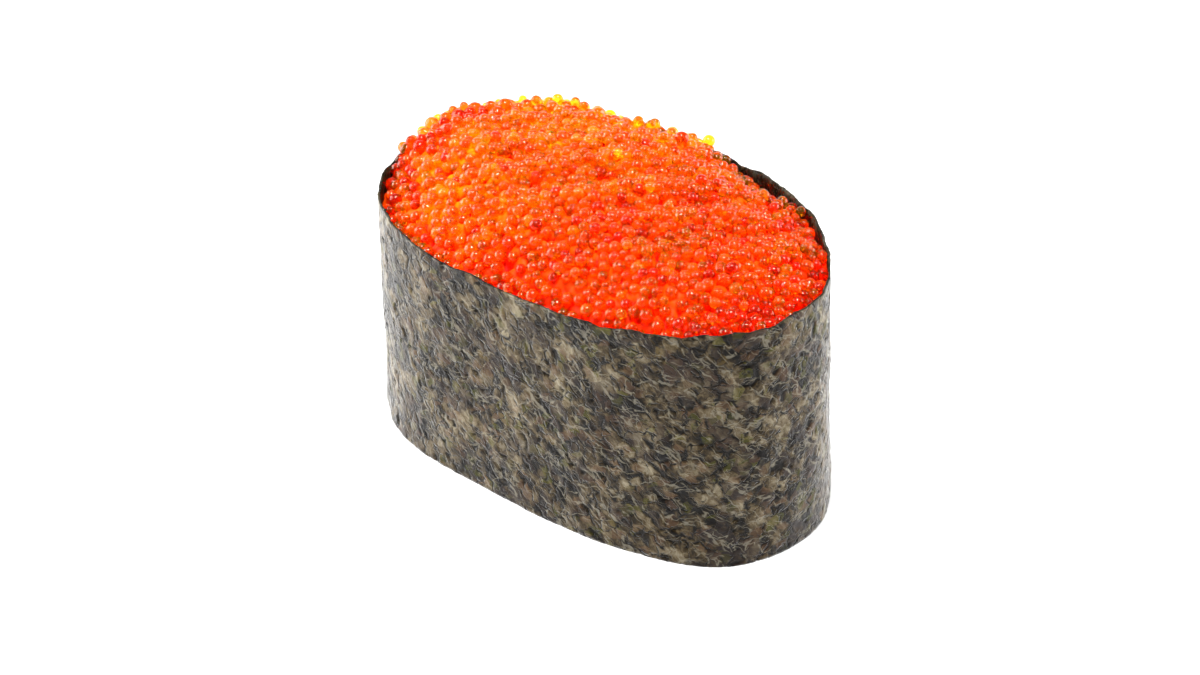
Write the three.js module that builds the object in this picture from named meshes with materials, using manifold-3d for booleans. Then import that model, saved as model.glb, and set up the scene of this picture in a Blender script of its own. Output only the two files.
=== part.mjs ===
// Gunkan sushi, in millimetres with +Z up: a strip of nori wrapped round a bed of pressed rice and
// filled past its brim with small fish roe. The long axis lies along X and the flatter long side
// faces -Y. The origin is the middle of the piece's box, on the surface that it stands on.

import * as THREE from 'three';
import { mergeVertices } from 'three/addons/utils/BufferGeometryUtils.js';
import Module from 'manifold-3d';

const wasm = await Module();
wasm.setup();

// ---------------------------------------------------------------------------------------------
// Driving dimensions
// ---------------------------------------------------------------------------------------------

// The rim's outline, on the outer face of the nori: half a superellipse in front and half an ellipse
// behind, both a little shallower towards +X, pushed slightly askew.
const LENGTH = 52;
const FRONT_DEPTH = 15.4;
const BACK_DEPTH = 17.5;
const FRONT_SQUARENESS = 2.6;
const BACK_SQUARENESS = 2;
const FRONT_TAPER = -0.143;
const BACK_TAPER = -0.066;
const SKEW = -0.069;

// The foot's outline is the rim's, moved along X and spread at the back, so that the wrap leans.
const FOOT_SHIFT = 0.43;
const FOOT_BACK_SPREAD = 1.09;

// The nori strip: its thickness, its height and how far its end laps over its start.
const SHEET = 0.45;
const RIM_HEIGHT = 25.3;
const RIM_RAGGEDNESS = 0.09;
const LAP_START_DEGREES = 104;
const LAP_END_DEGREES = 130;
const LAP_EASE_DEGREES = 20;
const SEAM_DEGREES = 0.7;
const WRINKLE = 0.16;

// The rim's rises and dips: waves in one turn, then how much cosine and sine of each.
const RIM_WAVES = [
  [1, 1.34, 0.43],
  [2, 0.48, 0.32],
  [3, -0.31, -0.1],
];

// What fills the wrap: pressed rice below and roe above, each a small gap away from the nori. The
// roe's crown stands ROE_RISE over the mean rim, and a larger shoulder makes a flatter, steeper heap.
const FIT_GAP = 0.3;
const RICE_HEIGHT = 16;
const RICE_SHOULDER = 1.2;
const ROE_RISE = 4.3;
const ROE_SHOULDER = 3.4;

// How far the roe stands over (+) or under (-) the rim where it meets the nori: pairs of a
// direction in degrees, anticlockwise from +X, and a height.
const ROE_EDGE_LEVELS = [
  [0, -0.4], [26, -0.4], [34, -1.6], [40, -1.4], [46, -0.7], [54, -1.2], [64, -2.2], [72, -2.2],
  [82, -1.6], [90, -0.2], [98, 0], [101.5, 1.5], [107, 1.2], [116, 0.6], [128, 1], [142, 1.5],
  [158, 1.3], [174, 1.8], [184, 1.4], [190, -0.5], [206, -1.4], [220, -1.2], [235, -0.5],
  [270, -0.4], [360, -0.4],
];

// The roe's eggs: the distance between them, the height of their bumps, and how much both vary.
const EGG_PITCH = 1.45;
const EGG_BUMP = 0.44;
const EGG_UNEVENNESS = 0.4;
const EGG_JITTER = 0.16;
const LUMP_HEIGHT = 0.32;

// The rice grains that show underneath, in rows, with grooves between them.
const GRAIN_LENGTH = 6;
const GRAIN_WIDTH = 2.8;
const GRAIN_SPACING = 6.4;
const GRAIN_ROW_SPACING = 3.2;
const GRAIN_SWING = 0.3;
const GRAIN_SHIFT = 0.4;
const GRAIN_SIZE_SPREAD = 0.08;
const GRAIN_REACH = 0.84;
const GROOVE_DEPTH = 0.8;

// Points round the nori, and round what fills it.
const COLUMNS = 104;
const FILLING_COLUMNS = 64;

// ---------------------------------------------------------------------------------------------
// Outline of the wrap. A "turn" is the angle that runs once round the outline, 0 at the +X end.
// ---------------------------------------------------------------------------------------------

const FULL_TURN = 2 * Math.PI;

const signedPower = (value, exponent) => Math.sign(value) * Math.abs(value) ** exponent;

function rimPoint(turn) {
  const isBack = Math.sin(turn) > 0;
  const squareness = isBack ? BACK_SQUARENESS : FRONT_SQUARENESS;
  const along = signedPower(Math.cos(turn), 2 / squareness);
  const across = signedPower(Math.sin(turn), 2 / squareness);
  const y = across * outlineDepth(along, isBack);
  return new THREE.Vector2((LENGTH / 2) * along + SKEW * y, y);
}

function outlineDepth(along, isBack) {
  return isBack ? BACK_DEPTH * (1 + BACK_TAPER * along) : FRONT_DEPTH * (1 + FRONT_TAPER * along);
}

function footPoint(turn) {
  const rim = rimPoint(turn);
  return new THREE.Vector2(rim.x + FOOT_SHIFT, rim.y * (rim.y > 0 ? FOOT_BACK_SPREAD : 1));
}

function rimHeight(turn) {
  const wave = (sum, [count, cosine, sine]) =>
    sum + cosine * Math.cos(count * turn) + sine * Math.sin(count * turn);
  return RIM_WAVES.reduce(wave, RIM_HEIGHT);
}

const wrinkleAt = (turn, level) =>
  WRINKLE * (Math.sin(5 * turn + level) + Math.sin(9 * turn - 2 * level + 1)) * 0.5;

// A point of the wrap's outer face: level 0 is the foot and 1 the rim, and inset moves inwards.
function wallPoint(turn, level, inset) {
  const outlineAt = (angle) => footPoint(angle).lerp(rimPoint(angle), Math.min(level, 1));
  const reach = 0.004;
  const tangent = outlineAt(turn + reach).sub(outlineAt(turn - reach)).normalize();
  const inwards = new THREE.Vector2(-tangent.y, tangent.x);
  return outlineAt(turn).addScaledVector(inwards, inset - wrinkleAt(turn, Math.min(level, 1)));
}

// Turns whose rim points lie the same distance apart.
function evenTurns(count) {
  const fine = 2880;
  const turns = Array.from({ length: fine + 1 }, (_, i) => (FULL_TURN * i) / fine);
  const run = [0];
  for (let i = 1; i <= fine; i += 1) {
    run.push(run[i - 1] + rimPoint(turns[i]).distanceTo(rimPoint(turns[i - 1])));
  }
  const picked = [];
  let k = 0;
  for (let i = 0; i < count; i += 1) {
    const wanted = (run[fine] * i) / count;
    while (run[k + 1] < wanted) k += 1;
    const share = (wanted - run[k]) / (run[k + 1] - run[k]);
    picked.push(THREE.MathUtils.lerp(turns[k], turns[k + 1], share));
  }
  return picked;
}

// The middle of the whole outline's box, which becomes the origin.
function outlineMiddle() {
  const box = new THREE.Box2();
  for (const turn of evenTurns(COLUMNS)) {
    box.expandByPoint(rimPoint(turn));
    box.expandByPoint(footPoint(turn));
  }
  return box.getCenter(new THREE.Vector2());
}

const MIDDLE = outlineMiddle();

// ---------------------------------------------------------------------------------------------
// Meshes
// ---------------------------------------------------------------------------------------------

function geometryFrom(points, triangles) {
  const geometry = new THREE.BufferGeometry().setFromPoints(points);
  geometry.setIndex(triangles);
  return geometry;
}

// Joins rings of equally many points with quads, each split in two.
function ringTriangles(ringPairs, count) {
  const triangles = [];
  for (const [lower, upper] of ringPairs) {
    for (let i = 0; i < count; i += 1) {
      const next = (i + 1) % count;
      const [a, b] = [lower * count + i, lower * count + next];
      const [c, d] = [upper * count + next, upper * count + i];
      triangles.push(a, b, c, a, c, d);
    }
  }
  return triangles;
}

// A solid stacked from rings, the lowest first, closed with a fan at each end.
function stackedSolid(rings) {
  const count = rings[0].length;
  const last = rings.length - 1;
  const points = rings.flat();
  const triangles = ringTriangles(rings.slice(1).map((_, i) => [i, i + 1]), count);
  for (const [ring, isTop] of [[0, false], [last, true]]) {
    const hub = new THREE.Vector3();
    rings[ring].forEach((point) => hub.addScaledVector(point, 1 / count));
    points.push(hub);
    for (let i = 0; i < count; i += 1) {
      const [a, b] = [ring * count + i, ring * count + ((i + 1) % count)];
      triangles.push(points.length - 1, isTop ? a : b, isTop ? b : a);
    }
  }
  return geometryFrom(points, triangles);
}

// Drops an open surface to a level floor and closes it all round.
function droppedSolid(surface, triangles, floor) {
  const count = surface.length;
  const points = [...surface, ...surface.map((p) => new THREE.Vector3(p.x, p.y, floor))];
  const edges = new Map();
  for (let i = 0; i < triangles.length; i += 3) {
    for (let k = 0; k < 3; k += 1) {
      const [from, to] = [triangles[i + k], triangles[i + ((k + 1) % 3)]];
      if (!edges.delete(`${to},${from}`)) edges.set(`${from},${to}`, [from, to]);
    }
  }
  const closed = [...triangles];
  for (let i = 0; i < triangles.length; i += 3) {
    closed.push(triangles[i] + count, triangles[i + 2] + count, triangles[i + 1] + count);
  }
  for (const [from, to] of edges.values()) {
    closed.push(from, from + count, to + count, from, to + count, to);
  }
  return geometryFrom(points, closed);
}

function toManifold(geometry) {
  const bare = geometry.clone();
  bare.deleteAttribute('normal');
  bare.deleteAttribute('uv');
  const merged = mergeVertices(bare);
  return new wasm.Manifold(
    new wasm.Mesh({
      numProp: 3,
      vertProperties: merged.attributes.position.array,
      triVerts: Uint32Array.from(merged.index.array),
    }),
  );
}

function toGeometry(solid) {
  const mesh = solid.getMesh();
  const geometry = new THREE.BufferGeometry();
  geometry.setAttribute('position', new THREE.BufferAttribute(mesh.vertProperties, 3));
  geometry.setIndex(new THREE.BufferAttribute(mesh.triVerts, 1));
  return geometry;
}

// Repeatable random numbers between -1 and 1 (a linear congruential generator).
function makeScatter(seed) {
  let state = seed;
  return () => {
    state = (Math.imul(state, 1664525) + 1013904223) >>> 0;
    return state / 2 ** 31 - 1;
  };
}

const smooth = (value) => THREE.MathUtils.smoothstep(value, 0, 1);

// ---------------------------------------------------------------------------------------------
// Nori: one strip whose end is stuck down over its start at the back
// ---------------------------------------------------------------------------------------------

const LAP_START = THREE.MathUtils.degToRad(LAP_START_DEGREES);
const LAP_END = THREE.MathUtils.degToRad(LAP_END_DEGREES);
const LAP_EASE = THREE.MathUtils.degToRad(LAP_EASE_DEGREES);
const SEAM = THREE.MathUtils.degToRad(SEAM_DEGREES);

// Past the lap the strip, now single, eases back onto the outline.
const easeBack = (turn) => 1 - smooth((turn - LAP_END) / LAP_EASE);
const outerLift = (turn) => SHEET * smooth((turn - LAP_START) / SEAM) * easeBack(turn);
const innerLift = (turn) => SHEET * smooth((turn - LAP_END) / SEAM) * easeBack(turn);

function raggedRim(turn) {
  const tears = Math.sin(11 * turn + 1) + Math.sin(19 * turn + 2.2) + Math.sin(31 * turn + 4);
  return rimHeight(turn) + RIM_RAGGEDNESS * tears;
}

function noriColumns() {
  const seams = [LAP_START, LAP_START + SEAM, LAP_END, LAP_END + SEAM];
  const isClear = (turn) => seams.every((seam) => Math.abs(turn - seam) > SEAM);
  return [...evenTurns(COLUMNS).filter(isClear), ...seams].sort((a, b) => a - b);
}

function noriRing(turns, level, isOuter) {
  return turns.map((turn) => {
    const inset = isOuter ? -outerLift(turn) : SHEET - innerLift(turn);
    const flat = wallPoint(turn, level, inset).sub(MIDDLE);
    return new THREE.Vector3(flat.x, flat.y, level * raggedRim(turn));
  });
}

function makeNori() {
  const turns = noriColumns();
  const outer = [0, 1 / 3, 2 / 3, 1].map((level) => noriRing(turns, level, true));
  const inner = [1, 1 / 2, 0].map((level) => noriRing(turns, level, false));
  const rings = [...outer, ...inner];
  const pairs = rings.map((_, i) => [i, (i + 1) % rings.length]);
  return geometryFrom(rings.flat(), ringTriangles(pairs, turns.length));
}

// A ring of the space inside the wrap, clear of the nori by the fit gap, at one height.
function fillingRing(height, extraInset = 0) {
  return evenTurns(FILLING_COLUMNS).map((turn) => {
    const inset = SHEET + FIT_GAP + extraInset;
    const flat = wallPoint(turn, height / rimHeight(turn), inset).sub(MIDDLE);
    return new THREE.Vector3(flat.x, flat.y, height);
  });
}

// ---------------------------------------------------------------------------------------------
// Rice: a pressed bed whose underside shows its grains, flattened by what it stands on
// ---------------------------------------------------------------------------------------------

// Where a point lies in the rim's outline: its turn, and a share that is 1 on the outline and less
// inside it.
function placeInOutline(x, y) {
  const planY = y + MIDDLE.y;
  const along = (x + MIDDLE.x - SKEW * planY) / (LENGTH / 2);
  const isBack = planY > 0;
  const squareness = isBack ? BACK_SQUARENESS : FRONT_SQUARENESS;
  const across = planY / outlineDepth(along, isBack);
  const share = (Math.abs(along) ** squareness + Math.abs(across) ** squareness) ** (1 / squareness);
  const turn = Math.atan2(signedPower(across, squareness / 2), signedPower(along, squareness / 2));
  return { share, turn: THREE.MathUtils.euclideanModulo(turn, FULL_TURN) };
}

// Centres in offset rows over the whole outline's box.
function offsetRows(spacing, rowSpacing) {
  const rowCount = Math.ceil(BACK_DEPTH / rowSpacing) + 2;
  const columnCount = Math.ceil(LENGTH / 2 / spacing) + 2;
  const rows = [];
  for (let j = -rowCount; j <= rowCount; j += 1) {
    const row = [];
    for (let i = -columnCount; i <= columnCount; i += 1) {
      row.push(new THREE.Vector2((i + (Math.abs(j) % 2) / 2) * spacing, j * rowSpacing));
    }
    rows.push(row);
  }
  return rows;
}

// A grain pressed flat: an oval whose underside is a little smaller than its waist.
function makeGrain(centre, heading, size) {
  const grain = new THREE.CylinderGeometry(0.5, 0.4, 2 * GROOVE_DEPTH, 8);
  grain.rotateX(Math.PI / 2);
  grain.scale(GRAIN_LENGTH * size, GRAIN_WIDTH * size, 1);
  grain.rotateZ(heading);
  grain.translate(centre.x, centre.y, GROOVE_DEPTH);
  return toManifold(grain);
}

function makeRice() {
  const scatter = makeScatter(7);
  const core = stackedSolid([
    fillingRing(GROOVE_DEPTH),
    fillingRing(RICE_HEIGHT - RICE_SHOULDER),
    fillingRing(RICE_HEIGHT, RICE_SHOULDER),
  ]);
  let bed = toManifold(core);
  for (const centre of offsetRows(GRAIN_SPACING, GRAIN_ROW_SPACING).flat()) {
    const heading = GRAIN_SWING * (Math.sin(centre.x / 6 + centre.y / 4) + scatter());
    const size = 1 + GRAIN_SIZE_SPREAD * scatter();
    centre.x += GRAIN_SHIFT * scatter();
    if (placeInOutline(centre.x, centre.y).share < GRAIN_REACH) {
      bed = bed.add(makeGrain(centre, heading, size));
    }
  }
  return toGeometry(bed);
}

// ---------------------------------------------------------------------------------------------
// Roe: a heap of small eggs, as bumps of their size on a mound
// ---------------------------------------------------------------------------------------------

function roeEdgeLevel(degrees) {
  const next = ROE_EDGE_LEVELS.findIndex(([direction]) => direction > degrees);
  const [from, low] = ROE_EDGE_LEVELS[next - 1];
  const [to, high] = ROE_EDGE_LEVELS[next];
  return THREE.MathUtils.lerp(low, high, smooth((degrees - from) / (to - from)));
}

// Soft swells and hollows a few eggs wide.
function lumpsAt(x, y) {
  const swell = Math.sin(0.55 * x + 0.3 * y) * Math.sin(0.62 * y - 0.2 * x + 1);
  return LUMP_HEIGHT * (swell + Math.sin(0.9 * x - 0.7 * y));
}

// The heap's height without its eggs: from the edge level at the nori up to the crown.
function heapHeight(x, y) {
  const place = placeInOutline(x, y);
  const share = Math.min(place.share, 1.1);
  const direction = THREE.MathUtils.radToDeg(Math.atan2(y + MIDDLE.y, x + MIDDLE.x));
  const edge = rimHeight(place.turn) + roeEdgeLevel(THREE.MathUtils.euclideanModulo(direction, 360));
  const crown = RIM_HEIGHT + ROE_RISE;
  return crown + (edge - crown) * share ** ROE_SHOULDER + lumpsAt(x, y) * (1 - share / 2);
}

// Each egg is a low bump, joined to its neighbours by saddles, with a pit between every three eggs.
function makeRoe() {
  const scatter = makeScatter(23);
  const surface = [];
  const addPoint = (flat, lift) => {
    surface.push(new THREE.Vector3(flat.x, flat.y, heapHeight(flat.x, flat.y) + lift));
    return surface.length - 1;
  };
  const eggs = offsetRows(EGG_PITCH, (EGG_PITCH * Math.sqrt(3)) / 2).map((row) =>
    row.map((spot) => {
      spot.x += EGG_PITCH * EGG_JITTER * scatter();
      spot.y += EGG_PITCH * EGG_JITTER * scatter();
      return { spot, top: addPoint(spot, EGG_BUMP * (1 + EGG_UNEVENNESS * scatter())) };
    }),
  );

  const saddles = new Map();
  const saddleBetween = (one, other) => {
    const key = [one.top, other.top].sort((a, b) => a - b).join();
    if (!saddles.has(key)) saddles.set(key, addPoint(one.spot.clone().lerp(other.spot, 0.5), 0));
    return saddles.get(key);
  };
  const triangles = [];
  const addPit = (...corners) => {
    const middle = new THREE.Vector2();
    corners.forEach((egg) => middle.addScaledVector(egg.spot, 1 / 3));
    const pit = addPoint(middle, -EGG_BUMP / 2);
    corners.forEach((egg, k) => {
      const next = corners[(k + 1) % 3];
      const saddle = saddleBetween(egg, next);
      triangles.push(egg.top, saddle, pit, saddle, next.top, pit);
    });
  };
  for (let j = 0; j + 1 < eggs.length; j += 1) {
    const [low, high] = [eggs[j], eggs[j + 1]];
    const leansLeft = low[0].spot.x > high[0].spot.x;
    for (let i = 0; i + 1 < low.length; i += 1) {
      if (leansLeft) {
        addPit(low[i], high[i + 1], high[i]);
        addPit(low[i], low[i + 1], high[i + 1]);
      } else {
        addPit(low[i], low[i + 1], high[i]);
        addPit(low[i + 1], high[i + 1], high[i]);
      }
    }
  }

  const mound = toManifold(droppedSolid(surface, triangles, 0));
  const heights = [RICE_HEIGHT + FIT_GAP, 0.8 * RIM_HEIGHT, RIM_HEIGHT, RIM_HEIGHT + 2 * ROE_RISE];
  const room = toManifold(stackedSolid(heights.map((height) => fillingRing(height))));
  return toGeometry(mound.intersect(room));
}

// ---------------------------------------------------------------------------------------------
// The piece
// ---------------------------------------------------------------------------------------------

function makeMesh(name, geometry, color, roughness) {
  const mesh = new THREE.Mesh(geometry, new THREE.MeshStandardMaterial({ color, roughness, metalness: 0 }));
  mesh.name = name;
  geometry.computeVertexNormals();
  return mesh;
}

const sushi = new THREE.Group();
sushi.add(makeMesh('nori_wrap', makeNori(), 0x4f4c42, 0.6));
sushi.add(makeMesh('rice_bed', makeRice(), 0xf1ede2, 0.55));
sushi.add(makeMesh('roe_heap', makeRoe(), 0xff5208, 0.2));

export default sushi;
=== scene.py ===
# %% [markdown]
# Gunkan sushi is a small oval "ship": a strip of nori (a dried seaweed sheet) stands on edge round a
# pressed bed of rice, and the room above the rice is heaped with small fish roe. This lesson dresses
# its plain solids: a mottled, fibrous sheet for the strip, wet eggs for the heap, grains for the rice.
# All shapes are worked out in millimetres, and one helper turns them into Blender's metres.

# %% The frame
import bpy
import numpy as np
from mathutils import Euler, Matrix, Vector


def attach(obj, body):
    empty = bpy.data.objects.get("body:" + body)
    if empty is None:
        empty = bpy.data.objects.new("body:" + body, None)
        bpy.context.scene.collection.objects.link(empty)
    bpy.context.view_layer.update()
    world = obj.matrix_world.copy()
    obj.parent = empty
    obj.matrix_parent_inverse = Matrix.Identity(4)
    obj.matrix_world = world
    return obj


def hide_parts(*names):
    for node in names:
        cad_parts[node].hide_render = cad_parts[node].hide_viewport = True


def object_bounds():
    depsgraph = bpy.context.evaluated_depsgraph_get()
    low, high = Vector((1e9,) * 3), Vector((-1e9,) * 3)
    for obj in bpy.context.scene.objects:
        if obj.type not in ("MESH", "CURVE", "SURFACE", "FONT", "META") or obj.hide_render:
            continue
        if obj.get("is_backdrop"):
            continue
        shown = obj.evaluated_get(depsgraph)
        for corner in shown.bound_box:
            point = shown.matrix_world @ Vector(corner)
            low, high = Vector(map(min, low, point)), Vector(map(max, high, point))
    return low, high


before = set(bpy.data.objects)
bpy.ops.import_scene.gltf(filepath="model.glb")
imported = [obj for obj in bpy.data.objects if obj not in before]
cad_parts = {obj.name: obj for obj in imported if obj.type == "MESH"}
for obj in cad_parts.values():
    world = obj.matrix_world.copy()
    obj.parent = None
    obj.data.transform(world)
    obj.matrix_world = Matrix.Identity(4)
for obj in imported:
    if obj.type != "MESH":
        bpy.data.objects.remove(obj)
cad_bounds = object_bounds()
MM = 0.001

# %% [markdown]
# The strip's outline is the rule that all pieces share. Seen from above, its front is half a
# superellipse, |x|^n + |y|^n = 1, squarer than an ellipse, and its back is half an ellipse. Both are a
# little shallower towards +X, and the whole is pushed askew. The angle that runs once round it is
# called the turn. The foot's outline is the rim's, moved a little and spread at the back.

# %% Outline
LENGTH = 52
FRONT_DEPTH = 15.4
BACK_DEPTH = 17.5
FRONT_SQUARENESS = 2.6
BACK_SQUARENESS = 2
FRONT_TAPER = -0.143
BACK_TAPER = -0.066
SKEW = -0.069
FOOT_SHIFT = 0.43
FOOT_BACK_SPREAD = 1.09
RIM_HEIGHT = 25.3
OUTLINE_STEPS = 7201
MIDDLE_STEPS = 2000

# The rim's rises and dips: waves in one turn, then how much cosine and sine of each.
RIM_WAVES = ((1, 1.34, 0.43), (2, 0.48, 0.32), (3, -0.31, -0.1))


def signed_power(value, exponent):
    """The size of a number raised to a power, with its sign kept."""
    return np.sign(value) * np.abs(value) ** exponent


def smooth(value):
    """Rises from 0 to 1 as value does, starting and ending level: 3v^2 - 2v^3."""
    held = np.clip(value, 0, 1)
    return held * held * (3 - 2 * held)


def outline_depth(along, is_back):
    """Half the outline's depth at a place along it, from -1 to 1."""
    return np.where(is_back, BACK_DEPTH * (1 + BACK_TAPER * along), FRONT_DEPTH * (1 + FRONT_TAPER * along))


def rim_outline(turn):
    """Cosine and sine of the turn, each raised to 2/n, make a superellipse; the skew then slides it."""
    is_back = np.sin(turn) > 0
    power = 2 / np.where(is_back, BACK_SQUARENESS, FRONT_SQUARENESS)
    along = signed_power(np.cos(turn), power)
    y = signed_power(np.sin(turn), power) * outline_depth(along, is_back)
    return np.stack([LENGTH / 2 * along + SKEW * y, y], -1)


def foot_outline(turn):
    """The rim's outline, moved along X and spread where it lies behind."""
    rim = rim_outline(turn)
    spread = np.where(rim[..., 1] > 0, FOOT_BACK_SPREAD, 1)
    return np.stack([rim[..., 0] + FOOT_SHIFT, rim[..., 1] * spread], -1)


def rim_height(turn):
    """The mean height and three waves round the rim."""
    return RIM_HEIGHT + sum(c * np.cos(n * turn) + s * np.sin(n * turn) for n, c, s in RIM_WAVES)


def even_turns(count, start=0.0, end=2 * np.pi):
    """Turns whose rim points lie the same distance apart, and that distance's running sum."""
    fine = np.linspace(start, end, OUTLINE_STEPS)
    steps = np.linalg.norm(np.diff(rim_outline(fine), axis=0), axis=1)
    run = np.concatenate([[0], np.cumsum(steps)])
    wanted = np.linspace(0, run[-1], count)
    return np.interp(wanted, run, fine), wanted


def outline_middle():
    """The middle of the box round both outlines, which is the part's origin."""
    turns = even_turns(MIDDLE_STEPS)[0]
    both = np.concatenate([rim_outline(turns), foot_outline(turns)])
    return (both.min(0) + both.max(0)) / 2


MIDDLE = outline_middle()
print("origin in the outline's own plan, mm:", MIDDLE.round(3))

# %% [markdown]
# The wall leans from the foot's outline to the rim's. A point of it is found by blending the two
# outlines by its level, and then stepping inwards, square to the blended outline, by as much as the
# sheet's thickness, its relief and its wrinkles ask.

# %% Wall
TANGENT_STEP = 0.004

# Wrinkles: their size in mm, and for each its waves in one turn, its slant up the wall and its phase.
WRINKLE = 0.16
WRINKLE_WAVES = ((5, 1, 0), (9, -2, 1))


def wall_point(turn, level, inset):
    """A point of the strip's outer face, moved inwards by inset: level 0 is the foot, 1 the rim."""
    level = np.clip(level, 0, 1)

    def outline(angle):
        return foot_outline(angle) * (1 - level[..., None]) + rim_outline(angle) * level[..., None]

    tangent = outline(turn + TANGENT_STEP) - outline(turn - TANGENT_STEP)
    tangent /= np.linalg.norm(tangent, axis=-1, keepdims=True)
    inwards = np.stack([-tangent[..., 1], tangent[..., 0]], -1)
    waves = sum(np.sin(count * turn + slant * level + phase) for count, slant, phase in WRINKLE_WAVES)
    return outline(turn) + inwards * (inset - WRINKLE / 2 * waves)[..., None] - MIDDLE


print("wall's foot at turn 0, mm:", wall_point(np.zeros(1), np.zeros(1), np.zeros(1)).round(2))

# %% [markdown]
# Nature's unevenness comes from two small fields. Noise blends random numbers that stand on the
# corners of a square lattice. Scattered cells give every point the distance to its nearest seed and a
# number that belongs to that seed, which makes flakes and beads. Both work on whole arrays at once.

# %% Noise and cells
LATTICE = 64
CELL_JITTER = 0.9
FAR = 9.0


def noise(u, v, seed):
    """Random numbers from -1 to 1 on unit squares' corners, blended with smooth steps."""
    table = np.random.default_rng(seed).uniform(-1, 1, (LATTICE, LATTICE))
    iu, iv = np.floor(u).astype(int), np.floor(v).astype(int)
    su, sv = smooth(u - iu), smooth(v - iv)

    def corner(a, b):
        return table[(iu + a) % LATTICE, (iv + b) % LATTICE]

    low = corner(0, 0) * (1 - su) + corner(1, 0) * su
    high = corner(0, 1) * (1 - su) + corner(1, 1) * su
    return low * (1 - sv) + high * sv


def cells(u, v, seed):
    """Each unit square holds one seed point: the distance to the nearest, to the next, and its number."""
    rng = np.random.default_rng(seed)
    place = rng.uniform(0.5 - CELL_JITTER / 2, 0.5 + CELL_JITTER / 2, (LATTICE, LATTICE, 2))
    number = rng.uniform(0, 1, (LATTICE, LATTICE))
    iu, iv = np.floor(u).astype(int), np.floor(v).astype(int)
    nearest, second, own = np.full(u.shape, FAR), np.full(u.shape, FAR), np.zeros(u.shape)
    for a in (-1, 0, 1):
        for b in (-1, 0, 1):
            square = (iu + a) % LATTICE, (iv + b) % LATTICE
            at = place[square]
            gap = np.hypot(iu + a + at[..., 0] - u, iv + b + at[..., 1] - v)
            closer = gap < nearest
            second = np.where(closer, nearest, np.minimum(second, gap))
            own = np.where(closer, number[square], own)
            nearest = np.minimum(nearest, gap)
    return nearest, second, own


print("both fields repeat after", LATTICE, "squares")

# %% [markdown]
# A piece is a mesh on a grid of points. One helper links neighbouring points with quads, one raises a
# plan to its height, and one numbers the faces of many copies. The last makes the object, gives it its
# material and tells the frame what it rides on and what it replaces.

# %% Grids and pieces


def grid_faces(rows, columns, close_rows=False, close_columns=False):
    """Quads between neighbouring points, where point (i, j) has the number i * columns + j."""
    i = np.arange(rows if close_rows else rows - 1)
    j = np.arange(columns if close_columns else columns - 1)
    i, j = np.meshgrid(i, j, indexing="ij")
    up, along = (i + 1) % rows, (j + 1) % columns
    quads = [i * columns + j, i * columns + along, up * columns + along, up * columns + j]
    return np.stack(quads, -1).reshape(-1, 4)


def at_height(flat, z):
    """Places in plan raised to a height, which is one number or one for each place."""
    return np.concatenate([flat, np.broadcast_to(z, flat.shape[:-1])[..., None]], -1)


def repeat_faces(faces, count, points_each):
    """The same faces for each copy of a shape, with every copy's numbers after the last one's."""
    return (faces[None] + np.arange(count)[:, None, None] * points_each).reshape(-1, faces.shape[1])


def make_piece(name, points, faces, material, node, slot, **numbers):
    """A smooth object from points in mm, with named numbers kept on its points."""
    mesh = bpy.data.meshes.new(name)
    mesh.from_pydata((np.asarray(points).reshape(-1, 3) * MM).tolist(), [], faces)
    mesh.shade_smooth()
    for label, values in numbers.items():
        layer = mesh.attributes.new(label, "FLOAT", "POINT")
        layer.data.foreach_set("value", np.asarray(values, np.float32).ravel())
    mesh.materials.append(material)
    piece = bpy.data.objects.new(name, mesh)
    bpy.context.scene.collection.objects.link(piece)
    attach(piece, "root")
    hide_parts(node)
    triangles = sum(len(face) - 2 for face in faces)
    print(f"{name}: {len(mesh.vertices)} points, {triangles} triangles")
    return piece


print("a grid of 3 by 4 points has", len(grid_faces(3, 4)), "quads")

# %% [markdown]
# A material is a small tree of nodes. These helpers add a node with its settings and link it, so that
# each recipe below reads from the pattern to the surface. A value that is the same all over is set on
# the socket itself, and one that varies comes through a link.

# %% Node helpers

# A Mix node has a set of sockets for each kind of value, and these are the numbers of the colours' set.
MIX_SHARE, MIX_FIRST, MIX_SECOND = 0, 6, 7
MIX_RESULT = 2


def new_material(name, **surface):
    """A material with one Principled surface, and its constants set on its own sockets."""
    material = bpy.data.materials.new(name)
    material.use_nodes = True
    shader = material.node_tree.nodes["Principled BSDF"]
    for socket, value in surface.items():
        shader.inputs[socket.replace("_", " ")].default_value = value
    return material, material.node_tree, shader


def add_node(tree, kind, links=None, settings=None, **inputs):
    """A node with its settings, its constant inputs and its links from other nodes' outputs."""
    node = tree.nodes.new("ShaderNode" + kind)
    for name, value in (settings or {}).items():
        setattr(node, name, value)
    for name, value in inputs.items():
        node.inputs[name.replace("_", " ")].default_value = value
    for name, output in (links or {}).items():
        tree.links.new(output, node.inputs[name])
    return node


def feed(tree, socket, value):
    """Gives a socket its value: a link where that is another node's output, else a constant."""
    if isinstance(value, bpy.types.NodeSocket):
        tree.links.new(value, socket)
    else:
        socket.default_value = (*value, 1) if np.ndim(value) else value


def ramp(tree, number, stops):
    """Turns a number into a colour or grey by stops of (place, grey or colour)."""
    node = add_node(tree, "ValToRGB", links={"Fac": number})
    elements = node.color_ramp.elements
    stops_at_first = len(elements)
    for k, (place, shade) in enumerate(stops):
        element = elements[k] if k < stops_at_first else elements.new(place)
        element.position = place
        element.color = (*shade, 1) if np.ndim(shade) else (shade, shade, shade, 1)
    return node.outputs["Color"]


def rising(tree, number, start, end):
    """0 up to the start, 1 from the end on, and straight between them."""
    return ramp(tree, number, ((start, 0.0), (end, 1.0)))


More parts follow.
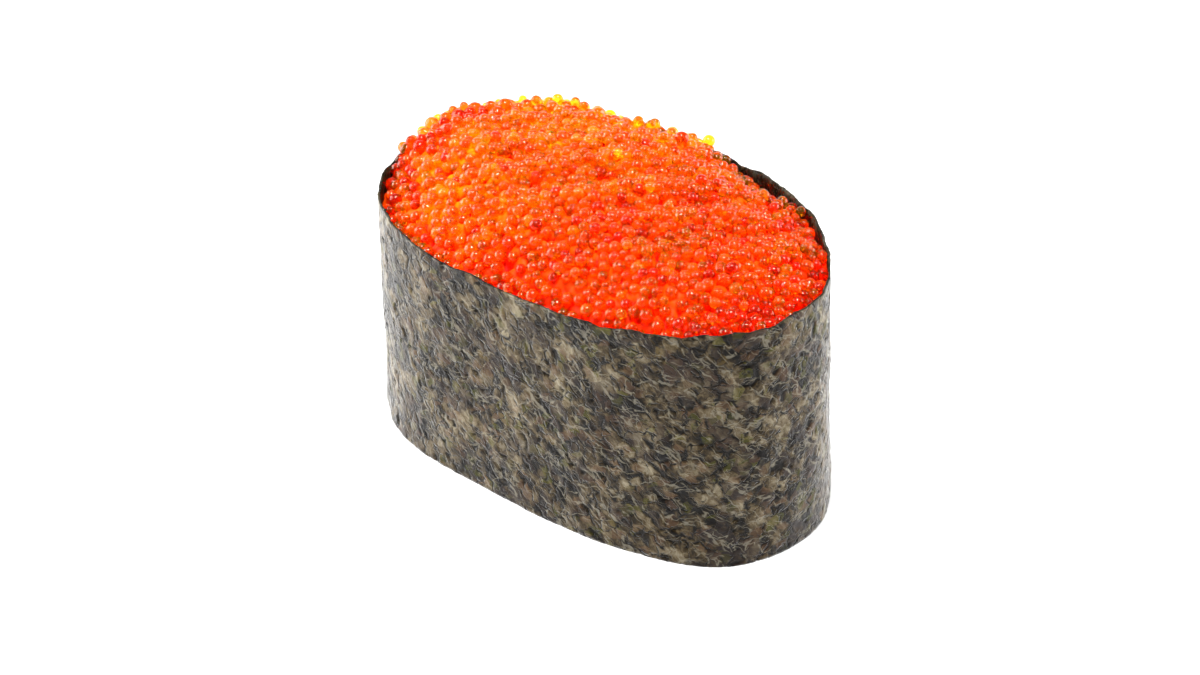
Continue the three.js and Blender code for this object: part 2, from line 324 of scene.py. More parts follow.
def mix(tree, share, first, second):
    """Mixes two colours, each a link or a constant, by a link or a constant share."""
    node = add_node(tree, "Mix", settings={"data_type": "RGBA"})
    for socket, value in ((MIX_SHARE, share), (MIX_FIRST, first), (MIX_SECOND, second)):
        feed(tree, node.inputs[socket], value)
    return node.outputs[MIX_RESULT]


def math_node(tree, operation, a, b):
    """One sum on two numbers, each a link or a constant."""
    node = add_node(tree, "Math", settings={"operation": operation})
    feed(tree, node.inputs[0], a)
    feed(tree, node.inputs[1], b)
    return node.outputs[0]


def weighted_sum(tree, *terms):
    """Adds up numbers, each times its weight."""
    total = 0.0
    for number, weight in terms:
        total = math_node(tree, "ADD", total, math_node(tree, "MULTIPLY", number, weight))
    return total


def kept_number(tree, label):
    """A number that is kept on the piece's points."""
    return add_node(tree, "Attribute", settings={"attribute_name": label}).outputs["Fac"]


# %% [markdown]
# Nori is pressed from shredded seaweed, so a sheet is a felt of flakes and short threads with thin
# spots between them. Its pattern follows the sheet, so it is drawn on a UV map that holds millimetres
# along the strip and up it. Each helper makes one ingredient. Its scale is in repeats for each
# millimetre, and the sheet that it is drawn on may be wobbled, turned or stretched first.

# %% Patterns on the sheet


def wobbled_sheet(tree, amount):
    """The sheet's own millimetres from its UV map, pushed about by a soft noise."""
    flat = add_node(tree, "UVMap", settings={"uv_map": "sheet"}).outputs["UV"]
    drift = add_node(tree, "TexNoise", links={"Vector": flat}, Scale=0.9, Detail=3.0)
    moved = add_node(tree, "VectorMath", settings={"operation": "MULTIPLY_ADD"},
                     links={0: drift.outputs["Color"], 2: flat})
    moved.inputs[1].default_value = (2 * amount, 2 * amount, 0)
    return moved.outputs[0]


def turned_sheet(tree, sheet, degrees, stretch=1, offset=0.0):
    """Turned, then squeezed along X, so that a pattern drawn on it is stretched that way."""
    turned = add_node(tree, "Mapping", links={"Vector": sheet})
    turned.inputs["Location"].default_value = (offset, offset, 0)
    turned.inputs["Rotation"].default_value = (0, 0, np.radians(degrees))
    squeezed = add_node(tree, "VectorMath", settings={"operation": "MULTIPLY"},
                        links={0: turned.outputs[0]})
    squeezed.inputs[1].default_value = (1 / stretch, 1, 1)
    return squeezed.outputs[0]


def clouds(tree, sheet, scale, detail, roughness=0.5):
    """Layered noise, about 0.3 to 0.7."""
    return add_node(tree, "TexNoise", links={"Vector": sheet}, Scale=scale, Detail=detail,
                    Roughness=roughness).outputs[0]


def flakes(tree, sheet, scale):
    """Scattered cells: three random numbers for each flake."""
    cell = add_node(tree, "TexVoronoi", links={"Vector": sheet}, Scale=scale)
    return add_node(tree, "SeparateColor", links={"Color": cell.outputs["Color"]}).outputs


def threads(tree, sheet, scale, thickness, rarity, offset):
    """Short curved lines where a stretched noise passes its middle value and a second noise is high."""
    field = clouds(tree, sheet, scale, detail=1.0)
    core = 0.3 * thickness
    line = ramp(tree, field, ((0.5 - thickness, 0.0), (0.5 - core, 1.0),
                              (0.5 + core, 1.0), (0.5 + thickness, 0.0)))
    gate = clouds(tree, turned_sheet(tree, sheet, degrees=30, offset=offset), scale=0.9, detail=2.0)
    return math_node(tree, "MULTIPLY", line, rising(tree, gate, rarity, rarity + 0.06))


def seams(tree, sheet, scale, width, offset):
    """Dark broken lines along the borders of scattered cells."""
    edge = add_node(tree, "TexVoronoi", settings={"feature": "DISTANCE_TO_EDGE"}, links={"Vector": sheet},
                    Scale=scale).outputs["Distance"]
    near = ramp(tree, edge, ((0.2 * width, 1.0), (width, 0.0)))
    gate = clouds(tree, turned_sheet(tree, sheet, degrees=70, offset=offset), scale=0.8, detail=3.0)
    return math_node(tree, "MULTIPLY", near, rising(tree, gate, 0.5, 0.6))


def some_cells(tree, number, start, end, strength):
    """Picks the cells whose own number is high, and says how strongly they are tinted."""
    return math_node(tree, "MULTIPLY", rising(tree, number, start, end), strength)


# %% [markdown]
# Grainy noise and two layers of stretched cells add up to one tone, which a ramp turns into black,
# brown and grey. A few cells go green, brown or violet. Painted shade makes dark crack lines along the
# seams between cells and in the pits, and thin lines of noise make the threads, painted pale as glints
# where light catches them. A sheen gives the outer face its pale bloom where it turns away. The inner
# face is painted darker, as shade inside the wrap, and has no sheen.

# %% Nori material
NORI_TONES = (
    (0.26, (0.002, 0.001, 0.0005)), (0.42, (0.02, 0.013, 0.005)), (0.56, (0.064, 0.044, 0.02)),
    (0.7, (0.12, 0.089, 0.048)), (0.95, (0.27, 0.228, 0.15)),
)
NORI_TONE_SHIFT = 1.37
NORI_GREEN = (0.1, 0.1, 0.008)
NORI_BROWN = (0.12, 0.062, 0.03)
NORI_VIOLET = (0.03, 0.02, 0.018)
# Painted shade in the crack lines, painted glints on the threads and painted shade on the inner face:
NORI_CRACK_SHADE = (0.003, 0.002, 0.001)
NORI_THREAD_GLINT = (0.3, 0.27, 0.2)
NORI_INNER_SHADE = (0.006, 0.005, 0.0015)

# Threads: the way they run in degrees, their stretch, and a shift that sets each layer apart.
THREAD_LAYERS = ((50, 3, 11), (35, 4, 31), (-10, 3, 23))


def thread_glints(tree, sheet):
    """Painted highlight: the highest of all layers of threads, pale where light would catch them."""
    pale = 0.0
    for degrees, stretch, offset in THREAD_LAYERS:
        layer = turned_sheet(tree, sheet, degrees, stretch, offset)
        strokes = threads(tree, layer, scale=1.3, thickness=0.03, rarity=0.54, offset=offset)
        pale = math_node(tree, "MAXIMUM", pale, strokes)
    return pale


def crack_and_pit_shade(tree, slanted, crossed):
    """Painted shade: the deepest of two layers of seams and the pits that the mesh has."""
    wide = seams(tree, slanted, scale=0.6, width=0.13, offset=5)
    fine = seams(tree, crossed, scale=1.1, width=0.14, offset=9)
    return math_node(tree, "MAXIMUM", math_node(tree, "MAXIMUM", wide, fine), kept_number(tree, "pits"))


def nori_material(name, shade, sheen):
    """Grey, brown and olive flakes, with painted glints on the threads, painted shade in the crack lines and
    pits, and painted shade on the inner face.
    """
    material, tree, shader = new_material(
        name, Roughness=0.35, IOR=1.45, Specular_IOR_Level=0.15, Sheen_Weight=sheen, Sheen_Roughness=0.3)
    sheet = wobbled_sheet(tree, amount=0.5)
    slanted = turned_sheet(tree, sheet, degrees=50, stretch=1.5)
    crossed = turned_sheet(tree, sheet, degrees=-25, stretch=1.3, offset=7)
    large = flakes(tree, slanted, scale=0.6)
    small = flakes(tree, crossed, scale=1.2)
    grain = clouds(tree, slanted, scale=0.8, detail=7.0, roughness=0.7)
    blotches = clouds(tree, sheet, scale=0.22, detail=3.0)
    crack_shade = crack_and_pit_shade(tree, slanted, crossed)
    tone = weighted_sum(tree, (grain, 2.0), (large[0], 0.16), (small[0], 0.2), (blotches, 1.4))
    base = ramp(tree, math_node(tree, "SUBTRACT", tone, NORI_TONE_SHIFT), NORI_TONES)
    base = mix(tree, some_cells(tree, small[1], 0.86, 0.9, strength=0.35), base, NORI_GREEN)
    base = mix(tree, some_cells(tree, small[2], 0.84, 0.9, strength=0.4), base, NORI_BROWN)
    base = mix(tree, some_cells(tree, large[1], 0.7, 0.8, strength=0.5), base, NORI_VIOLET)
    # Painted shade: dark crack lines along the seams between flakes and in the pits.
    base = mix(tree, crack_shade, base, NORI_CRACK_SHADE)
    # Painted glints: the threads are mixed in pale, as light catching their ridges.
    base = mix(tree, math_node(tree, "MULTIPLY", thread_glints(tree, sheet), 0.5), base, NORI_THREAD_GLINT)
    # Painted shade on the inner face, inside the wrap.
    base = mix(tree, shade, base, NORI_INNER_SHADE)
    tree.links.new(base, shader.inputs["Base Color"])
    swell = clouds(tree, slanted, scale=0.7, detail=3.5, roughness=0.55)
    height = weighted_sum(tree, (swell, 1.6), (large[0], 0.25), (small[0], 0.15), (crack_shade, -0.4))
    bump = add_node(tree, "Bump", links={"Height": height}, Strength=1.0, Distance=0.2 * MM)
    tree.links.new(bump.outputs["Normal"], shader.inputs["Normal"])
    return material


# %% [markdown]
# The strip is one profile carried along a path. The profile is the sheet's thin section: up the outer
# face, over the rim, down the inner face. The path starts at the strip's outer end, goes once round and
# runs on underneath that end, where a few drops of water hold it. A grid a quarter of a millimetre wide
# is fine enough to carry the flakes, buckles and pits as real relief.

# %% Nori strip
SHEET = 0.22
MID_SHEET = 0.5
LAP_LIFT = 0.3
LAP_START = np.radians(104)
LAP_END = np.radians(130)
LAP_EASE = np.radians(20)
STRIP_COLUMNS = 600
OUTER_ROWS = 96
INNER_ROWS = 32

# Buckles: how far apart and how high they are in mm, and the seed of each size.
BUCKLES = ((6, 0.12, 3), (2.5, 0.08, 4))

# Flakes: the way they lie in degrees, their length and width in mm, and the seed of each layer.
FLAKE_LAYERS = ((-52, 1.9, 0.75, 5), (28, 2.3, 0.9, 6))
FLAKE_HEIGHT = 0.07
FLAKE_BORDER = 0.25
FLAKE_DOME = 0.03
FLAKE_WARP = 0.7
WARPS_PER_MM = 0.9
PIT_DEPTH = 0.13
PITS_FROM = 0.62
PIT_BORDER = 0.2

# The torn rim: the height of its tears, their waves in one turn with each one's phase, and its fringe.
TEAR_HEIGHT = 0.09
TEAR_WAVES = ((11, 1), (19, 2.2), (31, 4))
FRINGE_HEIGHT = 0.07
FRINGE_PITCH = 0.6
FRINGE_LINE = 3.3
RIM_ROUNDING = 0.04


def nori_relief(run, height):
    """The outer face's relief in mm, and how deep in a pit each place is, from 0 to 1.

    Two sizes of smooth buckles are added up. Each layer of flakes adds its cells' own heights, which
    fade out at their borders, and a slight dome on each. The pits, where a noise is high, are cut in.
    """
    warp_u = run + FLAKE_WARP * noise(run * WARPS_PER_MM, height * WARPS_PER_MM, 1)
    warp_v = height + FLAKE_WARP * noise(run * WARPS_PER_MM, height * WARPS_PER_MM, 2)
    relief = sum(size * noise(run / pitch, height / pitch, seed) for pitch, size, seed in BUCKLES)
    for angle, long, short, seed in FLAKE_LAYERS:
        c, s = np.cos(np.radians(angle)), np.sin(np.radians(angle))
        near, second, own = cells((warp_u * c + warp_v * s) / long, (warp_v * c - warp_u * s) / short, seed)
        inside = smooth((second - near) / FLAKE_BORDER)
        relief += FLAKE_HEIGHT * (own - 0.5) * inside + FLAKE_DOME * (0.5 - near)
    pits = smooth((noise(warp_u * 1.1, warp_v * 1.3, 7) - PITS_FROM) / PIT_BORDER)
    return relief - PIT_DEPTH * pits, pits


def strip_points():
    """Rings of the section: outer face up, rim, inner face down, foot; one ring for each column."""
    turns, run = even_turns(STRIP_COLUMNS, LAP_START, LAP_END + 2 * np.pi)
    lift = LAP_LIFT * (1 - smooth((turns - LAP_END) / LAP_EASE))
    levels = np.concatenate([np.linspace(0, 1, OUTER_ROWS), [1.0], np.linspace(1, 0, INNER_ROWS), [0.0]])
    depths = np.concatenate([np.zeros(OUTER_ROWS), [MID_SHEET], np.ones(INNER_ROWS), [MID_SHEET]])
    level, turn = np.meshgrid(levels, turns, indexing="ij")
    along = np.broadcast_to(run, level.shape)
    depth = np.broadcast_to(depths[:, None], level.shape)
    tears = TEAR_HEIGHT * sum(np.sin(count * turn + phase) for count, phase in TEAR_WAVES)
    height = level * (rim_height(turn) + tears)
    fringe = FRINGE_HEIGHT * noise(along / FRINGE_PITCH, np.full_like(level, FRINGE_LINE), 8) * level ** 4
    relief, pits = nori_relief(along, height)
    flat = wall_point(turn, level, depth * SHEET - lift - relief)
    rounding = np.where((depth == MID_SHEET) & (level > 0.5), RIM_ROUNDING, 0)
    return at_height(flat, height + fringe + rounding), np.stack([along, height], -1), pits


def make_nori():
    """The closed strip, its end caps included, replacing the plain band."""
    points, sheet_uv, pits = strip_points()
    rows = len(points)
    faces = grid_faces(rows, STRIP_COLUMNS, close_rows=True)
    ring = np.arange(rows) * STRIP_COLUMNS
    caps = [ring.tolist(), (ring[::-1] + STRIP_COLUMNS - 1).tolist()]
    piece = make_piece("nori_strip", points, faces.tolist() + caps,
                       nori_material("nori", shade=0.0, sheen=0.5), "nori_wrap", "nori", pits=pits)
    # The inner face gets painted shade and no sheen.
    piece.data.materials.append(nori_material("nori_inner", shade=0.72, sheen=0.0))
    is_inner = np.append(np.repeat(np.arange(rows) >= OUTER_ROWS - 1, STRIP_COLUMNS - 1), [True, True])
    piece.data.polygons.foreach_set("material_index", is_inner.astype(np.int32))
    corners = np.empty(len(piece.data.loops), np.int32)
    piece.data.loops.foreach_get("vertex_index", corners)
    layer = piece.data.uv_layers.new(name="sheet")
    layer.data.foreach_set("uv", sheet_uv.reshape(-1, 2)[corners].astype(np.float32).ravel())


make_nori()

# %% [markdown]
# The heap is a mound under a skin of loose eggs. Its height rises from a level at the nori to a flat
# crown. That level is over the rim from the middle of the back round to the -X end, and under it
# elsewhere. The mound is the heap sunk by the depth of the loose layer, with an egg-sized bead round
# each scattered point.

# %% Heap
ROE_RISE = 4.3
ROE_SHOULDER = 3.4

# How far the roe stands over (+) or under (-) the rim where it meets the nori: pairs of a
# direction in degrees, anticlockwise from +X, and a height.
ROE_EDGE_LEVELS = (
    (0, -0.4), (26, -0.4), (34, -1.6), (40, -1.4), (46, -0.7), (54, -1.2), (64, -2.2), (72, -2.2),
    (82, -1.6), (90, -0.2), (98, 0), (101.5, 1.5), (107, 1.2), (116, 0.6), (128, 1), (142, 1.9),
    (152, 2.2), (162, 2.0), (174, 1.9), (186, 1.5), (193, 0.6), (200, -0.9), (206, -1.4),
    (220, -1.2), (235, -0.5), (270, -0.4), (360, -0.4),
)
LUMP_HEIGHT = 0.32
FARTHEST_SHARE = 1.1
RICE_HEIGHT = 16
CORE_DEPTH = 1.0


def place_in_outline(x, y):
    """Solves the outline's rule backwards: a place's turn, and its share, 1 on the outline."""
    plan_y = y + MIDDLE[1]
    along = (x + MIDDLE[0] - SKEW * plan_y) / (LENGTH / 2)
    is_back = plan_y > 0
    n = np.where(is_back, BACK_SQUARENESS, FRONT_SQUARENESS)
    across = plan_y / outline_depth(along, is_back)
    share = (np.abs(along) ** n + np.abs(across) ** n) ** (1 / n)
    turn = np.arctan2(signed_power(across, n / 2), signed_power(along, n / 2))
    return turn % (2 * np.pi), share


def heap_height(x, y):
    """Crown + (edge - crown) * share^p, with soft lumps that fade towards the nori."""
    turn, share = place_in_outline(x, y)
    share = np.minimum(share, FARTHEST_SHARE)
    directions, levels = np.array(ROE_EDGE_LEVELS).T
    direction = np.degrees(np.arctan2(y + MIDDLE[1], x + MIDDLE[0])) % 360
    edge = rim_height(turn) + np.interp(direction, directions, levels)
    crown = RIM_HEIGHT + ROE_RISE
    lumps = np.sin(0.55 * x + 0.3 * y) * np.sin(0.62 * y - 0.2 * x + 1) + np.sin(0.9 * x - 0.7 * y)
    return crown + (edge - crown) * share**ROE_SHOULDER + LUMP_HEIGHT * lumps * (1 - share / 2)


print("the heap's height in the middle, mm:", round(float(heap_height(0, 0)), 2))

# %% [markdown]
# The loose eggs are poured one by one. Each starts over a random spot, rolls to the lowest place
# nearby where it rests on its neighbours, and stays if it is still inside the heap. Soft eggs press
# into each other, so they come closer than hard balls would. This gives the hollows and clumps that a
# spoonful has, which no even pattern does.

# %% Pouring the eggs
POUR_SEED = 11
POUR_ALONG = (-26.5, 26.5)
POUR_ACROSS = (-18, 17)
EGG_RADIUS = 0.64
EGG_SPREAD = 0.07
EGG_RADII = (0.5, 0.82)
EGG_PRESS = 0.9
EGG_SINK = 0.45
EGG_TRIES = 9000
EGG_LIMITS = (-0.15, 0.65)
BIG_EGG_RADII = (0.74, 0.95)
BIG_EGG_SHARE = 0.22
BIG_EGGS_LEFT_OF = -19.5
ROLL_RADII = (0.5, 0.3, 0.15)
ROLL_WAYS = 8
REACH_OF_A_ROLL = 2.8

# An egg keeps off the wall by a share of its radius, and over the rim it may lean out a little.
WALL_SHARE = 0.85
OVER_RIM = 0.2
RIM_ROOM = -0.2
WALL_SLOPE = 0.92
BARRED = 50


def rest_height(x, y, radius, eggs):
    """The height at which an egg at (x, y) touches the mound or the eggs near it."""
    height = heap_height(x, y) - CORE_DEPTH + EGG_SINK * radius
    if len(eggs):
        reach = EGG_PRESS * (radius + eggs[:, 3])
        gap = np.hypot(x[:, None] - eggs[None, :, 0], y[:, None] - eggs[None, :, 1])
        over = np.sqrt(np.maximum(reach**2 - gap**2, 0))
        height = np.maximum(height, np.where(gap < reach, eggs[:, 2] + over, -1).max(1))
    return height


def room_beside_nori(x, y):
    """About how far a place is from the sheet's inner face, less than 0 beyond it."""
    share = place_in_outline(x, y)[1]
    return np.hypot(x + MIDDLE[0], y + MIDDLE[1]) * (1 / share - 1) * WALL_SLOPE - SHEET


def is_in_nori(x, y, height, radius):
    """Whether an egg at this height would stand in the sheet."""
    over_rim = height > rim_height(place_in_outline(x, y)[0]) + OVER_RIM
    return room_beside_nori(x, y) < np.where(over_rim, RIM_ROOM, WALL_SHARE * radius)


def pour_eggs(seed):
    """Centres and radii of the eggs that stay in the heap."""
    rng = np.random.default_rng(seed)
    eggs = np.zeros((EGG_TRIES, 4))
    count = 0
    angles = np.linspace(0, 2 * np.pi, ROLL_WAYS, endpoint=False)
    ring = np.stack([np.cos(angles), np.sin(angles)])
    for _ in range(EGG_TRIES):
        radius = np.clip(rng.normal(EGG_RADIUS, EGG_SPREAD), *EGG_RADII)
        x = rng.uniform(*POUR_ALONG)
        y = rng.uniform(*POUR_ACROSS)
        if x < BIG_EGGS_LEFT_OF and rng.uniform() < BIG_EGG_SHARE:
            radius = rng.uniform(*BIG_EGG_RADII)
        limit = rng.uniform(*EGG_LIMITS)
        near = eggs[:count]
        near = near[(np.abs(near[:, 0] - x) < REACH_OF_A_ROLL) & (np.abs(near[:, 1] - y) < REACH_OF_A_ROLL)]
        for roll in ROLL_RADII:
            xs, ys = np.append(x, x + roll * ring[0]), np.append(y, y + roll * ring[1])
            heights = rest_height(xs, ys, radius, near)
            heights += np.where(is_in_nori(xs, ys, heights, radius), BARRED, 0)
            best = heights.argmin()
            x, y, z = xs[best], ys[best], heights[best]
        if z + radius < heap_height(x, y) + limit:
            eggs[count] = x, y, z, radius
            count += 1
    return eggs[:count]


poured = pour_eggs(POUR_SEED)
print("eggs poured:", len(poured))

# %% [markdown]
# One egg is an icosahedron whose edges are halved once and pushed out to the sphere: 42 points and 80
# faces, few enough to repeat more than a thousand times.

# %% One egg


def egg_template():
    """Twelve corners from the golden ratio, 2 apart, then each edge's middle, all on the unit sphere."""
    g = (1 + 5**0.5) / 2
    corners = np.array([(-1, g, 0), (1, g, 0), (-1, -g, 0), (1, -g, 0), (0, -1, g), (0, 1, g), (0, -1, -g),
                        (0, 1, -g), (g, 0, -1), (g, 0, 1), (-g, 0, -1), (-g, 0, 1)], float)
    near = np.isclose(np.linalg.norm(corners[:, None] - corners[None], axis=-1), 2)
    trios = [
        (a, b, c)
        for a in range(12) for b in range(a) for c in range(b)
        if near[a, b] and near[b, c] and near[a, c]
    ]
    points = list(corners)
    middle = {}
    for a, b in {tuple(sorted(pair)) for t in trios for pair in (t[:2], t[1:], t[::2])}:
        middle[a, b] = len(points)
        points.append((corners[a] + corners[b]) / 2)
    points = np.array(points) / np.linalg.norm(points, axis=1, keepdims=True)
    faces = []
    for a, b, c in trios:
        ab, bc, ca = (middle[tuple(sorted(pair))] for pair in ((a, b), (b, c), (c, a)))
        faces += [(a, ab, ca), (ab, b, bc), (ca, bc, c), (ab, bc, ca)]
    faces = np.array(faces)
    corner = points[faces]
    normal = np.cross(corner[:, 1] - corner[:, 0], corner[:, 2] - corner[:, 0])
    inwards = (normal * corner.mean(1)).sum(1) < 0
    faces[inwards] = faces[inwards][:, ::-1]
    return points, faces


EGG_POINTS, EGG_FACES = egg_template()
print("one egg:", len(EGG_POINTS), "points and", len(EGG_FACES), "faces")

# %% [markdown]
# Every egg gets its own turn, a slight squeeze and its own colour, so that no two catch the light alike,
# and painted light makes each brighter towards its underside, where light through the egg gathers.
# The jelly is nearly clear, so light goes through several eggs before it comes back, and every pass
# makes it redder. A little cloud in the jelly keeps the heap bright.

# %% Eggs
EGG_UNEVENNESS = 0.05
OWN_TINT = 0.5
MEAN_TINT = 0.35
# Painted light: how much brighter each egg is made towards its underside.
UNDERSIDE_PAINTED_LIGHT = 0.3


def random_turns(rng, count):
    """Turns drawn from random unit quaternions, as matrices."""
    w, x, y, z = rng.normal(size=(count, 4)).T
    size = np.sqrt(w * w + x * x + y * y + z * z)
    w, x, y, z = w / size, x / size, y / size, z / size
    rows = [[1 - 2 * (y * y + z * z), 2 * (x * y - z * w), 2 * (x * z + y * w)],
            [2 * (x * y + z * w), 1 - 2 * (x * x + z * z), 2 * (y * z - x * w)],
            [2 * (x * z - y * w), 2 * (y * z + x * w), 1 - 2 * (x * x + y * y)]]
    return np.array(rows).transpose(2, 0, 1)


def egg_meshes(centres, radii, rng):
    """All eggs' points and faces, and each point's height within its egg, from about -1 to 1."""
    squeeze = 1 + EGG_UNEVENNESS * rng.normal(size=(len(radii), 1, 3))
    round_points = (EGG_POINTS[None] * squeeze) @ random_turns(rng, len(radii)).transpose(0, 2, 1)
    points = centres[:, None] + round_points * radii[:, None, None]
    faces = repeat_faces(EGG_FACES, len(radii), len(EGG_POINTS))
    return points.reshape(-1, 3), faces, round_points[..., 2].ravel()


def roe_material(name, deep, bright):
    """Nearly clear jelly with a little orange cloud in it, under a wet skin that gives small highlights."""
    material, tree, shader = new_material(
        name, Roughness=0.2, IOR=1.2, Specular_IOR_Level=0.4, Transmission_Weight=0.94,
        Subsurface_Weight=1.0, Subsurface_Scale=3.0 * MM,
        Coat_Weight=0.35, Coat_Roughness=0.08, Coat_IOR=1.5)
    shader.inputs["Subsurface Radius"].default_value = (1.0, 0.3, 0.05)
    colour = ramp(tree, kept_number(tree, "tint"), ((0, deep), (1, bright)))
    tree.links.new(colour, shader.inputs["Base Color"])
    return material


def make_eggs(name, chosen, deep, bright, seed):
    """One piece of all eggs of a kind: each has a colour of its own, and painted light makes it brighter
    towards its underside.
    """
    rng = np.random.default_rng(seed)
    points, faces, height = egg_meshes(chosen[:, :3], chosen[:, 3], rng)
    own = np.repeat(rng.uniform(0, 1, len(chosen)), len(EGG_POINTS))
    # Each egg's own colour at random, plus painted light towards its underside.
    tint = np.clip(OWN_TINT * own + MEAN_TINT - UNDERSIDE_PAINTED_LIGHT * height, 0, 1)
    material = roe_material(name, deep, bright)
    return make_piece(name, points, faces.tolist(), material, "roe_heap", "roe", tint=tint)


# %% [markdown]
# Each kind of egg has its own depth of colour, and one mesh holds all the eggs of a kind. The kinds are
# drawn at random by weights that change over the heap: deep ones gather by the nori at the two ends,
# and light ones grow more common towards -X. That drift is painted light towards -X and painted shade
# towards +X and the front.

# %% Kinds of egg
KINDS_SEED = 3
FIRST_EGG_SEED = 21
EGG_KINDS = (
    ("roe_deep", (0.8, 0.11, 0.003), (0.95, 0.22, 0.006)),
    ("roe_orange", (1.0, 0.34, 0.005), (1.0, 0.5, 0.01)),
    ("roe_tangerine", (1.0, 0.52, 0.008), (1.0, 0.7, 0.015)),
    ("roe_amber", (1.0, 0.66, 0.015), (1.0, 0.82, 0.03)),
    ("roe_yellow", (1.0, 0.8, 0.02), (1.0, 0.88, 0.04)),
)
LIGHT_FROM = 12
LIGHT_LEAN = 0.5
LIGHT_LENGTH = 34
ENDS_FROM = 15
ENDS_TO = 8
ENDS_FADE = 6
BY_NORI_FROM = 0.8
BY_NORI_FADE = 0.12


def painted_light_share(x, y):
    """Painted light: from 0 at +X and the front, where the roe is painted deep as shade, to 1 at -X, where it
    is painted light.
    """
    return smooth((LIGHT_FROM - x + LIGHT_LEAN * y) / LIGHT_LENGTH)


def ends_share(x, y):
    """1 by the nori at the two ends, and 0 in the middle, away from the nori and at the back."""
    by_nori = smooth((place_in_outline(x, y)[1] - BY_NORI_FROM) / BY_NORI_FADE)
    return smooth((np.abs(x) - ENDS_FROM) / ENDS_FADE) * by_nori * smooth((ENDS_TO - y) / ENDS_FADE)


def choose_kinds(eggs, seed):
    """Draws each egg's kind by weights in the order of the kinds' list."""
    x, y = eggs[:, 0], eggs[:, 1]
    ends = ends_share(x, y)
    light = painted_light_share(x, y)
    even = np.ones(len(eggs))
    # Painted light: paler eggs are drawn towards -X, and deeper ones towards +X and the front, as shade.
    weights = np.stack([
        0.08 - 0.06 * light + 0.9 * ends,
        0.5 * even,
        (0.04 + 0.8 * light) * (1 - 0.7 * ends),
        0.04 * even,
        0.006 * even,
    ], -1)
    sums = np.cumsum(weights, axis=1)
    drawn = np.random.default_rng(seed).uniform(0, sums[:, -1])
    return (drawn[:, None] > sums).sum(1)


kinds = choose_kinds(poured, KINDS_SEED)
for number, (name, deep, bright) in enumerate(EGG_KINDS):
    make_eggs(name, poured[kinds == number], deep, bright, FIRST_EGG_SEED + number)

# %% [markdown]
# Under the loose eggs lies the mound, one closed mesh from the nori down to the rice. Its beads are
# scattered cells pushed up into domes, so that no flat red shows between the loose eggs. Its colour is
# painted shade and light: red in the gaps, by the nori and towards +X, where little light falls in, and
# orange on the beads towards -X.

# %% Mound
MOUND_SEED = 31
MOUND_COLUMNS = 480
MOUND_ROWS = 100
MOUND_LEVEL = 0.9
MOUND_FOOT_LEVEL = 0.65
MOUND_FOOT_SHARES = (1, 0.5, 0)
FILLING_GAP = 0.08
RICE_GAP = 0.3
BEAD_PITCH = 1.1
BEAD_RADIUS = 0.72
BEAD_RISE = 0.25
DARKEST_PLACE = 0.25
NORI_SHADE = 0.8
NORI_SHADE_FADE = 0.18


def inside_wall(turn, level):
    """Places just inside the sheet's inner face, all at one level."""
    return wall_point(turn, np.full(turn.shape, level), np.full(turn.shape, SHEET + FILLING_GAP))


def mound_points():
    """Rings from the middle of the top out to the nori, down along it, and back in underneath."""
    turns = even_turns(MOUND_COLUMNS + 1)[0][:-1]
    shares = np.linspace(0, 1, MOUND_ROWS) ** 0.8
    share, turn = np.meshgrid(shares, turns, indexing="ij")
    flat = inside_wall(turn, MOUND_LEVEL) * share[..., None]
    x, y = flat[..., 0], flat[..., 1]
    near, _, own = cells(x / BEAD_PITCH, y / BEAD_PITCH, MOUND_SEED)
    bead = np.sqrt(np.maximum(BEAD_RADIUS**2 - (near * BEAD_PITCH) ** 2, 0)) + BEAD_RISE * own
    top = at_height(flat, heap_height(x, y) - CORE_DEPTH - BEAD_RADIUS + bead)
    foot_edge = inside_wall(turns, MOUND_FOOT_LEVEL)
    foot = [at_height(foot_edge * k, RICE_HEIGHT + RICE_GAP) for k in MOUND_FOOT_SHARES]
    # Painted shade by the nori, in the gaps between beads and towards +X, and painted light towards -X.
    by_nori = smooth((share - BY_NORI_FROM) / NORI_SHADE_FADE)
    light = (DARKEST_PLACE + (1 - DARKEST_PLACE) * painted_light_share(x, y)) * (1 - NORI_SHADE * by_nori)
    tint = smooth((bead - BEAD_RISE) / 0.5) * light
    return np.concatenate([top, np.array(foot)]), np.concatenate([tint, np.zeros((len(foot), MOUND_COLUMNS))])


def mound_material():
    """Painted shade and light: deep red in the pits and orange on the beads, lit from within."""
    material, tree, shader = new_material(
        "roe_mound", Roughness=0.5, IOR=1.4, Specular_IOR_Level=0.1, Subsurface_Weight=0.4,
        Subsurface_Scale=1.0 * MM)
    shader.inputs["Subsurface Radius"].default_value = (1.0, 0.3, 0.08)
    colour = ramp(tree, kept_number(tree, "tint"), ((0, (0.8, 0.005, 0.0)), (1, (1.0, 0.25, 0.0))))
    tree.links.new(colour, shader.inputs["Base Color"])
    return material


def make_mound():
    """The closed mound under the loose eggs."""
    points, tint = mound_points()
    faces = grid_faces(len(points), MOUND_COLUMNS, close_columns=True)[:, ::-1]
    return make_piece("roe_mound", points, faces.tolist(), mound_material(), "roe_heap", "roe", tint=tint)


make_mound()

# %% [markdown]
# Sushi rice is short, plump and sticky, about six millimetres long. Where the hand pressed it down the
# grains lie flat and touch, each with a flattened patch, and the next layer shows in the gaps. Grains are
# laid one by one, each kept off its neighbours by three discs along its length. The discs are narrower
# than the grain, because sticky grains press into each other.

# %% Laying the grains
LAYING_SEED = 51
GRAIN_LENGTH = 6.0
GRAIN_WIDTH = 2.6
GRAIN_TRIES = 3500
GRAIN_LAYERS = (1.1, 2.0)
GRAIN_SETTLING = (-0.1, 0.25)
GRAIN_GAP = 1.95
DISC_SPACING = 1.75
BED_LOWEST = (-26, -17)
BED_HIGHEST = (26, 17)


